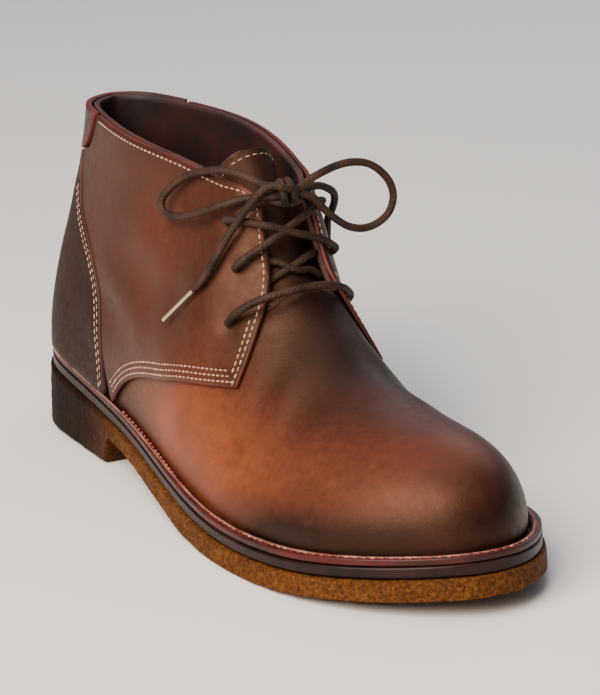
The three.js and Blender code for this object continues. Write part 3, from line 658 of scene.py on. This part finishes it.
def spots_at(where, spots):
    """How strongly a set of soft round spots covers a place."""
    return sum(
        strength * math.exp(-(((where - Vector(spot)).length / radius) ** 2))
        for spot, radius, strength in spots
    )


TREAD_X, COLLAR_Z, THROAT_X = 215, 131, 165


def painted(mesh):
    """Gives each point of a skin its darkening, burnish with painted shade, and its warming,
    pull-up with painted light. Besides its spots, the darkening runs along the sole, whose edge
    rises from the tread to heel and toe, and round the collar."""
    # painted shade and painted light go into these two attributes with the burnish and the pull-up
    dark = mesh.attributes.new("burnish_and_painted_shade", "FLOAT", "POINT")
    warm_and_lit = mesh.attributes.new("pull_up_and_painted_light", "FLOAT", "POINT")
    for i, vertex in enumerate(mesh.vertices):
        where = in_boot(vertex.co)
        rise = 0.0011 if where.x < TREAD_X else 0.0006
        sole_edge = 16 + rise * (where.x - TREAD_X) ** 2
        toe = max(0.0, min(1.0, (where.x - 195) / 50))
        low = max(0.0, 1 - max(0.0, where.z - sole_edge) / (13 + 8 * toe))
        high = max(0.0, 1 - max(0.0, COLLAR_Z - where.z) / 12) if where.x < THROAT_X else 0.0
        burnish_and_painted_shade = (0.5 + 0.5 * toe) * low**1.3 + 0.4 * high + spots_at(where, BURNISH_AND_SHADE_SPOTS)
        dark.data[i].value = min(1.0, burnish_and_painted_shade)
        warm_and_lit.data[i].value = min(1.0, spots_at(where, PULL_UP_AND_LIGHT_SPOTS))


THICKEST = 2.7 * MM  # no cut edge of the leather is wider than this


def sides_of(bm):
    """Marks each face of a skin: 0 outside, 1 lining side, 2 cut edge."""
    for face in bm.faces:
        where = in_boot(face.calc_center_median())
        core = Vector((max(35, min(270, where.x)), 3, min(35, where.z)))
        away = (where - core).normalized()
        cut = [e for e in face.edges if e.calc_face_angle(0) > SHARP]
        narrow = face.calc_area() / max(e.calc_length() for e in face.edges) < THICKEST
        if len(cut) >= 2 and len(face.verts) == 4 and narrow:
            face.material_index = 2
        else:
            face.material_index = 0 if face.normal.dot(away) > 0 else 1


def rim_of(bm):
    """The border between a skin's outside and its cut edge, in order."""
    return [
        v.co.copy()
        for v in ordered(
            [
                e
                for e in bm.edges
                if len(e.link_faces) == 2 and {f.material_index for f in e.link_faces} == {0, 2}
            ]
        )
    ]


def skin(node, name, materials, slot, shapers=(creased,), hold=0.8):
    """A leather piece from its CAD solid: rounded, shaped, painted and put in place.
    Gives back its outside, to sew on, and the rim of that side."""
    bm = merged(node)
    sides_of(bm)
    rim = rim_of(bm)
    mesh = rounded(bm, 2, hold)
    for shape in shapers:
        shape(mesh)
    painted(mesh)
    placed(name, mesh, materials, slot, node)
    return tree_of(mesh), rim


# The hide in its main brown, the oxblood goatskin inside, its colour darkened with painted
# shade, and the leather's cut edge, which is browner and drier than the lining.
brown_leather = waxed_leather("waxed_brown_leather", "#46231a", "#140806", "#854428")
# painted shade: the lining's oxblood is set nearly black, as it looks in shade down the collar
oxblood_lining = lining_leather("oxblood_lining_leather_painted_shade", "#120405", "#340c0b", 0.65)
raw_edge = lining_leather("raw_leather_edge", "#2c1310", "#4e241c", 0.65)
upper_materials = [brown_leather, oxblood_lining, raw_edge]
upper_cloth, _ = skin("upper", "upper_skin", upper_materials, "leather")


# ---------------------------------------------------------------- tongue
# Dark brown leather, lined like the boot and caught under the throat of the vamp. Its round
# top stands free and is sewn once, near the cut edge.
def part_of(rim, start, end, through):
    """The stretch of a closed rim from start to end that passes nearest to a third point."""
    places = [boot_place(*p) for p in (start, end, through)]
    i, j = (min(range(len(rim)), key=lambda k: (rim[k] - p).length) for p in places[:2])
    one = [rim[(i + k) % len(rim)] for k in range((j - i) % len(rim) + 1)]
    two = [rim[(i - k) % len(rim)] for k in range((i - j) % len(rim) + 1)]
    return min(one, two, key=lambda line: min((p - places[2]).length for p in line))


INSET_STEP = 1.5  # spacing in millimetres of the points of a line of stitches


def inset(line, cloth, middle, amount):
    """A line moved a distance inward from a skin's edge, towards its middle."""
    line = evenly(line, INSET_STEP * MM)
    moved = []
    for before, here, after in zip([line[0], *line], line, [*line[1:], line[-1]]):
        along = (after - before).normalized()
        _, normal, _, _ = cloth.find_nearest(here + (middle - here).normalized() * 2 * MM)
        inward = normal.cross(along).normalized()
        if inward.dot(middle - here) < 0:
            inward = -inward
        moved.append(here + inward * amount)
    return smoothed(moved, 6)


# The same hide dyed darker, and left drier, so it hardly shines.
dark_leather = waxed_leather("waxed_dark_leather", "#2a1813", "#140a07", "#44271c", 0.6)
tongue_materials = [dark_leather, oxblood_lining, raw_edge]
tongue_cloth, tongue_rim = skin("tongue", "tongue_skin", tongue_materials, "dark_leather", (), 0.7)
tongue_top = part_of(tongue_rim, (150, -16, 121), (150, 20, 121), (143, 2, 134))
row = inset(tongue_top, tongue_cloth, boot_place(152, 2, 117), 2.4 * MM)
sewn("tongue_stitches", [(row, tongue_cloth, 3.0, 2.3, 0.6)], cotton)


# ---------------------------------------------------------------- quarters
# The two leather sides that lace over the tongue, laid on the vamp and sewn with three rows
# along the foot. Their edges are inked oxblood; the lace holes are punched without eyelets.
# Each hole is where the laid lace goes through the leather of the frame.
def through(points, step=1.2 * MM):
    """A smooth line through points given in the boot's millimetres, in even steps."""
    p = [boot_place(*q) for q in points]
    p = [2 * p[0] - p[1], *p, 2 * p[-1] - p[-2]]
    line = []
    for a, b, c, d in zip(p, p[1:], p[2:], p[3:]):
        for i in range(12):
            t = i / 12
            bend = (2 * a - 5 * b + 4 * c - d) * t**2 + (3 * b - a - 3 * c + d) * t**3
            line.append(0.5 * (2 * b + (c - a) * t + bend))
    line.append(p[-2])
    even = evenly(line, step)
    return even if (even[-1] - line[-1]).length < step / 3 else [*even, line[-1]]


# From hole to hole over the facings: the straight bar below, and the two strands that cross.
bar = through([
    (166.4, -21.8, 74.4), (166.2, -24.9, 76.0), (168, -25.8, 78.0), (171.8, -24, 82.0),
    (177, -19.4, 86.3), (181, -12, 89), (182.4, -3, 90), (182.4, 6, 89.9), (179.6, 14.6, 87.2),
    (175.6, 20.4, 84), (170.6, 25, 80.4), (167.6, 26.8, 78.4), (165.8, 25.4, 77),
    (166, 22.4, 75.8),
])
over = [
    through([
        (159.4, -16, 94.2), (161, -18.8, 95), (163.4, -19.6, 97.0), (166, -15, 101),
        (167.6, -7, 105.6), (167.4, 2, 110), (164.4, 11, 113), (158.8, 19.6, 114),
        (154.6, 23.4, 113.6), (152.4, 22.9, 112.9), (151.6, 19.4, 112.4),
    ]),
    through([
        (159.4, 20, 94.2), (160.9, 22.9, 95.2), (163.2, 23.6, 97.0), (166, 18.6, 100.4),
        (168.8, 10, 104.6), (169.4, 2, 107.4), (166.4, -6.6, 110.4), (159.4, -14.6, 112.2),
        (154.2, -18.6, 112.2), (151.8, -16.8, 111), (151.4, -13.6, 110.2),
    ]),
]
HOLE_RADIUS = 2.3
DIMPLE_RADIUS, DIMPLE_DEPTH = 5, 0.9


def holes_through(node, laces):
    """Where laces go through a leather piece of the frame: each hole is its place on the
    outside and the way the leather faces there."""
    bm = merged(node)
    sides_of(bm)
    leather = mesh_of(bm, "leather")
    outside = tree_of(leather)
    bpy.data.meshes.remove(leather)
    holes = []
    for lace in laces:
        for a, b in zip(lace, lace[1:]):
            place, normal, _, _ = outside.ray_cast(a, (b - a).normalized(), (b - a).length)
            if place is not None:
                holes.append((place, normal))
    return holes


def dimpled(mesh, holes):
    """Draws the leather in round each punched hole, where the lace pulls on it."""
    for vertex in mesh.vertices:
        for place, normal in holes:
            away = (vertex.co - place).length / (DIMPLE_RADIUS * MM)
            if away < 2:
                sink = DIMPLE_DEPTH * MM * math.exp(-away * away * 1.6)
                vertex.co -= normal * sink


def hole_mouths(holes, cloth):
    """The turned-in mouths of the punched holes: rings that narrow as they sink."""
    mouths = bmesh.new()
    for place, _ in holes:
        spot, normal, _, _ = cloth.find_nearest(place)
        stand = normal.to_track_quat("Z", "Y").to_matrix().to_4x4()
        stand.translation = spot + normal * 0.12 * MM
        ring = bmesh.ops.create_circle(
            mouths, segments=20, radius=HOLE_RADIUS * MM, matrix=stand
        )["verts"]
        for narrowing, sink in ((0.82, 0.15), (0.72, 0.9), (0.3, 1.2)):
            edges = dict.fromkeys(
                e for v in ring for e in v.link_edges if all(w in ring for w in e.verts)
            )
            grown = bmesh.ops.extrude_edge_only(mouths, edges=list(edges))["geom"]
            ring = [g for g in grown if isinstance(g, bmesh.types.BMVert)]
            centre = stand.translation - normal * sink * MM
            for v in ring:
                flat = v.co - stand.translation
                away = (flat - normal * flat.dot(normal)).normalized()
                v.co = centre + away * narrowing * HOLE_RADIUS * MM
    bmesh.ops.recalc_face_normals(mouths, faces=mouths.faces)
    return mouths


# The quarters' hide is a little redder; its inked edge; the raw wall of a punched hole, made
# nearly black with painted shade.
quarter_leather = waxed_leather("waxed_brown_quarter_leather", "#402017", "#190b07", "#623220")
oxblood_edge = lining_leather("oxblood_leather_edge", "#3a0e0c", "#6a1e17", 0.6)
# painted shade: the hole walls are coloured far darker than the other cut edges
punched_edge_shaded = lining_leather("punched_hole_edge_painted_shade", "#120806", "#2a150e", 0.75)

quarter_materials = [quarter_leather, oxblood_lining, oxblood_edge]
quarter_cloths = {}
for side, node, name in (
    (-1, "quarter_outer", "outer_quarter"),
    (1, "quarter_inner", "inner_quarter"),
):
    holes = holes_through(node, [bar, *over])
    shapers = (creased, lambda mesh: dimpled(mesh, holes))
    cloth, rim = skin(node, name, quarter_materials, "leather", shapers)
    quarter_cloths[side] = cloth
    mouths_name = name + "_hole_mouths"
    mouths = mesh_of(hole_mouths(holes, cloth), mouths_name)
    placed(mouths_name, mouths, [punched_edge_shaded], None)

    middle = boot_place(120, side * 36, 80)
    corner, back, foot = (182, side * 31, 55), (54, side * 20, 131.5), (92, side * 36, 29)
    facing = part_of(rim, corner, back, (150, side * 15, 122))
    seam = part_of(rim, corner, foot, (150, side * 38, 52))
    rows = []
    # Three rows along the foot, each begun where it clears the rows of the facing.
    for amount in (1.8, 3.9, 6.0):
        row = inset(seam, cloth, middle, amount * MM)
        rows.append((row[round(amount / INSET_STEP) :], cloth, 2.3, 1.8, 0.8))
    # One row all along the facing and the collar, and a short second one above the corner.
    rows.append((inset(facing, cloth, middle, 2.2 * MM), cloth, 2.7, 2.1, 0.8))
    rows.append((inset(facing, cloth, middle, 4.3 * MM)[3:19], cloth, 2.7, 2.1, 0.8))
    sewn(name + "_stitches", rows, cotton)


# ---------------------------------------------------------------- heel counter
# A stiff outside counter, its front edge an S, sewn with two close rows. Its leather is the
# darkest of the boot: dyed through, darkened further with painted shade, and waxed thinly, so
# it stays nearly matt.
# painted shade: the counter's colours are set darker than its leather for the shade round the heel
counter_leather = waxed_leather("waxed_counter_leather_painted_shade", "#170b08", "#090504", "#351a12", 0.62)
counter_materials = [counter_leather, oxblood_lining, raw_edge]
cloth, rim = skin("heel_counter", "counter", counter_materials, "dark_leather")
rows = []
for side in (-1, 1):
    edge = part_of(rim, (33, side * 20, 110), (82, side * 36, 31), (66, side * 36, 72))
    for amount in (1.6, 3.6):
        row = inset(edge, cloth, boot_place(30, side * 30, 66), amount * MM)
        rows.append((row, cloth, 3.0, 2.3, 0.55))
sewn("counter_stitches", rows, cotton)


# ---------------------------------------------------------------- heel patch
# A scalloped patch of dark red-brown leather over the back of the collar, where the two
# quarters meet, sewn tone on tone.
# Soft calf dyed dark red-brown, with more shine than the rest, and thread of its colour.
patch_leather = waxed_leather("dark_red_patch_leather", "#351513", "#1a0807", "#5a231b", 0.42)
maroon_thread = lining_leather("maroon_waxed_thread", "#5a2a24", "#86493c", 0.6)
patch_materials = [patch_leather, oxblood_lining, oxblood_edge]
cloth, rim = skin("heel_patch", "patch", patch_materials, "patch_leather")
edge = part_of(rim, (45, -18, 131), (45, 22, 131), (18, 2.5, 111))
row = inset(edge, cloth, boot_place(22, 2.5, 122), 1.8 * MM)
sewn("patch_stitches", [(row, cloth, 2.6, 2.0, 0.5)], maroon_thread)


# ---------------------------------------------------------------- lace
# One round braid of waxed cotton, 3 mm thick, straight across below and crossed above, tied
# in a bow. It comes up through the holes; its ends are crimped in thin pale brass.
LACE = 3 * MM


def pulled_down(line, cloths, reach=3.4 * MM):
    """A taut lace drawn down on the leather wherever it comes near to it."""
    laid = []
    for point in line:
        for cloth in cloths:
            foot, normal, _, away = cloth.find_nearest(point)
            if away < reach and (point - foot).dot(normal) > 0:
                extra = max(0.0, away - LACE / 2)
                height = LACE / 2 + extra * extra / (reach - LACE / 2)
                point = foot + (point - foot).normalized() * height
        laid.append(point)
    return smoothed(laid, 2)


# Waxed cotton, braided round a core: the two ways of the braid cross every 2.2 mm and stand
# up a fifth of a millimetre; brown, nearly black where the wax is thick.
BRAID_PITCH, BRAID_STRANDS = 2.2, 4
lace_cotton, tree, shader, mm = surface("waxed_cotton_lace_braid")
braid_map = add_node(tree, "ShaderNodeUVMap")
split = add_node(tree, "ShaderNodeSeparateXYZ", {0: braid_map.outputs["UV"]})
strands = []
for turn in (1, -1):
    around = add_node(
        tree,
        "ShaderNodeMath",
        {0: split.outputs["Y"], 1: BRAID_STRANDS * turn},
        operation="MULTIPLY",
    )
    along = add_node(
        tree,
        "ShaderNodeMath",
        {0: split.outputs["X"], 1: 1 / BRAID_PITCH, 2: around.outputs[0]},
        operation="MULTIPLY_ADD",
    )
    angle = add_node(
        tree, "ShaderNodeMath", {0: along.outputs[0], 1: math.tau}, operation="MULTIPLY"
    )
    wave = add_node(tree, "ShaderNodeMath", {0: angle.outputs[0]}, operation="SINE")
    strands.append(wave.outputs[0])
braid = add_node(tree, "ShaderNodeMath", {0: strands[0], 1: strands[1]}, operation="MAXIMUM")
wear = add_node(tree, "ShaderNodeTexNoise", {"Vector": mm, "Scale": 1 / 9, "Detail": 3})
mixed = add_node(
    tree,
    "ShaderNodeMath",
    {0: braid.outputs[0], 1: 0.04, 2: wear.outputs["Fac"]},
    operation="MULTIPLY_ADD",
)
tint = add_node(
    tree,
    "ShaderNodeValToRGB",
    {"Fac": mixed.outputs[0]},
    stops=((0.3, rgb("#1c110b")), (0.75, rgb("#412a1d"))),
)
tree.links.new(tint.outputs["Color"], shader.inputs["Base Color"])
bump = add_node(
    tree, "ShaderNodeBump", {"Height": braid.outputs[0], "Strength": 0.4, "Distance": 0.0002}
)
tree.links.new(bump.outputs["Normal"], shader.inputs["Normal"])
shader.inputs["Roughness"].default_value = 0.66
shader.inputs["Specular IOR Level"].default_value = 0.25

# Besides the bar and the two strands over the facings, two strands run under the facings, and
# two rise to the knot.
under = [
    through([
        (166.4, -10.4, 88.2), (168, -5.4, 91.6), (168.6, 2, 94.8), (166.4, 9.6, 97),
        (161.6, 16, 96.2), (158.6, 19, 95),
    ]),
    through([
        (166.4, 14, 88.4), (168, 9, 91.8), (169.8, 2, 93.2), (166.6, -4.4, 96.6),
        (161.6, -10.8, 96), (158.6, -14.8, 95),
    ]),
]
rise = [
    through([
        (152.4, -13.4, 111), (155.6, -10.6, 114.4), (159.6, -7, 118.2), (163, -3, 121),
    ]),
    through([
        (152.6, 19, 112.6), (155.8, 15.6, 115.4), (159.8, 11, 118.6), (163, 7, 121),
    ]),
]
leathers = [upper_cloth, quarter_cloths[-1], quarter_cloths[1]]
taut = [pulled_down(line[3:-3], leathers) for line in (bar, *over)]
taut = [[*line[:3], *laid, *line[-3:]] for line, laid in zip((bar, *over), taut)]
run_mesh = joined([tube(line, LACE) for line in (*taut, *under, *rise)])
placed("laced_run", run_mesh, [lace_cotton], "lace", "lace_bar", "lace_cross", "lace_cross_under")

# The knot: two wraps round the middle, over the roots of the loops and ends.
knot_lines = [
    through([
        (163.6, 0.6, 118.2), (168, -1.2, 118.8), (170.2, -2.6, 121.6), (169.4, -2.8, 124.8),
        (166, -1.8, 126.4), (162.2, -0.4, 125), (161, 0.8, 121.6), (163, 1.2, 118.6),
    ]),
    through([
        (163.6, 4.6, 118.4), (167.8, 3.6, 118.8), (170.2, 1.8, 121.4), (169.8, 1, 124.6),
        (166.4, 1.4, 126.5), (162.4, 2.8, 125.2), (161.2, 4.2, 121.8), (163.2, 4.8, 118.8),
    ]),
    through([
        (161.8, -8.6, 121), (165, -5.6, 121.4), (167, -0.5, 122), (167.4, 4.4, 123.4),
        (167.2, 8.4, 125.2), (167.1, 11.4, 126.4),
    ]),
    through([
        (161.6, -8, 125.5), (164.6, -4.6, 125), (166.4, 0.8, 123.6), (167, 5.6, 121.4),
        (167.4, 11.6, 119),
    ]),
    through([
        (170.8, -4.4, 126), (170.6, -0.8, 124.8), (167.6, 3.4, 123), (163.6, 7, 121),
        (161.2, 9, 119.6),
    ]),
    through([
        (161.4, -4.6, 119.4), (165, -2.6, 118.8), (167.4, 2.2, 118.2), (165.2, 6.8, 119.2),
        (162, 7.4, 120),
    ]),
]
knot_mesh = joined([tube(line, LACE) for line in knot_lines])
knot = placed("lace_bow_knot", knot_mesh, [lace_cotton], "lace", "lace_knot")

# The bow: the middle lines of its two loops and two free ends, and of their crimped tips.
LOOP_OUTER = [
    (161.8, -7.2, 125.5), (157.5, -9.2, 127), (152, -11.6, 128.2), (146.5, -14.4, 128.8),
    (141, -16.8, 128), (135, -18.8, 126.4), (129, -20.8, 124), (123.5, -23.2, 120),
    (119.6, -25.8, 115.4), (119.4, -27.2, 111.6), (123.2, -27.4, 109.2), (129.5, -26.6, 109.4),
    (137, -25.4, 111.1), (144.5, -22.9, 113.8), (151.2, -19.3, 116.9), (157, -14.1, 119.7),
    (161.8, -8.2, 121),
]
LOOP_INNER = [
    (167, 11, 126.4), (167.3, 16, 128.2), (167, 22, 129.6), (167.2, 28.5, 130),
    (167.6, 35, 128.6), (168.2, 40.2, 125), (168.6, 44, 120), (168.6, 45.3, 114.4),
    (168.2, 43.6, 108.8), (167.7, 39, 105.2), (167.2, 33, 103.9), (166.9, 26.5, 105.6),
    (166.8, 20.5, 109.8), (167, 15.4, 114.6), (167.5, 11.5, 119),
]
END_OUTER = [
    (170.6, -4, 125.8), (169.8, -5.3, 126.4), (168.4, -7, 126.3), (166.9, -8.6, 125.4),
    (165, -11, 122.6), (163, -13.4, 118.8), (161.2, -16, 114.4), (160.3, -17.4, 112),
    (159.4, -18.8, 109.6), (157.8, -21.4, 104.8), (156.6, -24, 99.8), (155.3, -26.6, 95),
    (154.6, -27.8, 92.7), (153.6, -29, 90.4), (152.3, -30.1, 88.3), (150.6, -31.2, 86.4),
]
END_INNER = [
    (161.4, 8.6, 119.6), (161.4, 11, 120.7), (161.2, 14, 121.4), (160.8, 17.8, 121.2),
    (160, 21.6, 119.6), (157.8, 25.6, 116.8), (154.6, 28, 112.8), (151.2, 28.8, 108.4),
    (148.2, 28.6, 103.9), (146.2, 29.5, 99.8), (144.4, 30.4, 95.8), (142.8, 31.2, 91.6),
    (141.2, 32, 87.4), (139.8, 32.8, 83.4), (138.6, 33.4, 79.4),
]
TIPS = {
    "outer": [(150.6, -31.2, 86.4), (136.2, -36.6, 72.2)],
    "inner": [(138.6, 33.4, 79.4), (132.8, 35.6, 60.4)],
}

# Pale brass, rolled from thin sheet and crimped: polished, with fine marks along it.
brass, tree, shader, mm = surface("pale_brass_tip")
marks = add_node(tree, "ShaderNodeTexNoise", {"Vector": mm, "Scale": 1 / 1.2, "Detail": 4})
rub = add_node(
    tree, "ShaderNodeMapRange", {"Value": marks.outputs["Fac"], "To Min": 0.22, "To Max": 0.42}
)
tree.links.new(rub.outputs["Result"], shader.inputs["Roughness"])
shader.inputs["Base Color"].default_value = rgb("#cfb995")
shader.inputs["Metallic"].default_value = 1.0

for name, route, far_end in (
    ("lace_loop_outer", LOOP_OUTER, "object"),
    ("lace_loop_inner", LOOP_INNER, "object"),
    ("lace_end_outer", END_OUTER, "fitting"),
    ("lace_end_inner", END_INNER, "fitting"),
):
    line = through(route)
    piece = placed(name + "_braid", tube(line, LACE), [lace_cotton], "lace", name)
    going_with = [knot] if name == "lace_loop_outer" else []
    if far_end == "fitting":
        side = name.rsplit("_", 1)[1]
        ends = through(TIPS[side])
        tip_mesh = tube(ends, 2 * MM, sides=4)
        tip = placed("lace_tip_" + side + "_brass", tip_mesh, [brass], "tip", "lace_tip_" + side)
        going_with.append(tip)

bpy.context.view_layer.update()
